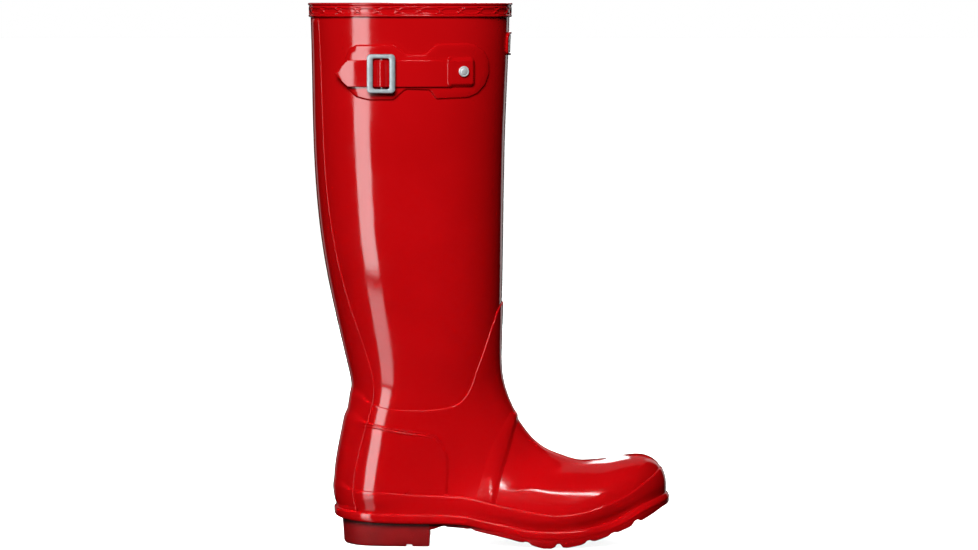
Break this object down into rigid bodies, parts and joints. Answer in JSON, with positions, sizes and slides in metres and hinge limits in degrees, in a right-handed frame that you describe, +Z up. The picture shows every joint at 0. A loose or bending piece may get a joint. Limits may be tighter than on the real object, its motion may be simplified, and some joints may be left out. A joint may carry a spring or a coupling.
{
  "type": "rubber rain boot",
  "caption": "Tall glossy rubber rain boot for the right foot, with a side strap and buckle, lined shaft, foxing, rand and lugged sole.",
  "frame": {"origin": "middle of the heel's ground face", "axes": "+X towards the toe, +Z up the leg, -Y towards the outer side, where the buckle is"},
  "size_m": [0.2755, 0.11, 0.4101],
  "materials": {
    "gloss_rubber": "glossy",
    "matte_rubber": "fine stipple",
    "steel": "satin",
    "knit": "knitted",
    "board": "fibre board",
    "foam": "foam",
    "plaque": "glossy"
  },
  "bodies": {
    "foot": {"foot_rubber": "gloss_rubber", "ankle_overlay": "gloss_rubber", "foot_lining": "knit", "ankle_lining": "knit", "toe_puff": "board", "heel_stiffener": "board", "heel_counter": "gloss_rubber", "instep_band": "gloss_rubber", "heel_strip": "gloss_rubber", "foxing_strip": "gloss_rubber", "rand": "gloss_rubber", "outsole": "matte_rubber", "heel_block": "matte_rubber", "heel_filler": "foam", "forefoot_filler": "foam", "shank": "steel", "insole_board": "board", "footbed": "foam"},
    "leg": {"leg_rubber": "gloss_rubber", "leg_lining": "knit", "inner_top_tape": "knit", "top_band": "gloss_rubber", "back_strip": "gloss_rubber", "strap_patch": "gloss_rubber", "strap": "gloss_rubber", "anchor_pad": "gloss_rubber", "stud": "steel", "stud_washer": "steel", "buckle_chape": "gloss_rubber", "badge_border": "gloss_rubber", "badge_plaque": "plaque"},
    "buckle": {"buckle_frame": "steel", "centre_bar": "steel"},
    "strap_tail": {"strap_tail": "gloss_rubber"}
  },
  "joints": [
    {"name": "ankle_flex", "type": "hinge", "parent": "foot", "child": "leg", "pos_m": [0.03, 0, 0.115], "axis": [0, 1, 0], "range_deg": [-8, 15], "stiffness_Nm_per_rad": 25, "deforming": ["ankle_overlay", "ankle_lining"]},
    {"name": "buckle_tilt", "type": "hinge", "parent": "leg", "child": "buckle", "pos_m": [-0.00242, -0.05257, 0.3576], "axis": [0, 0, 1], "range_deg": [-9, 9], "stiffness_Nm_per_rad": 0.05, "deforming": ["strap"]},
    {"name": "strap_tail_lift", "type": "hinge", "parent": "leg", "child": "strap_tail", "pos_m": [-0.01479, -0.04907, 0.35762], "axis": [0, 0, 1], "range_deg": [0, 50], "stiffness_Nm_per_rad": 0.05}
  ]
}
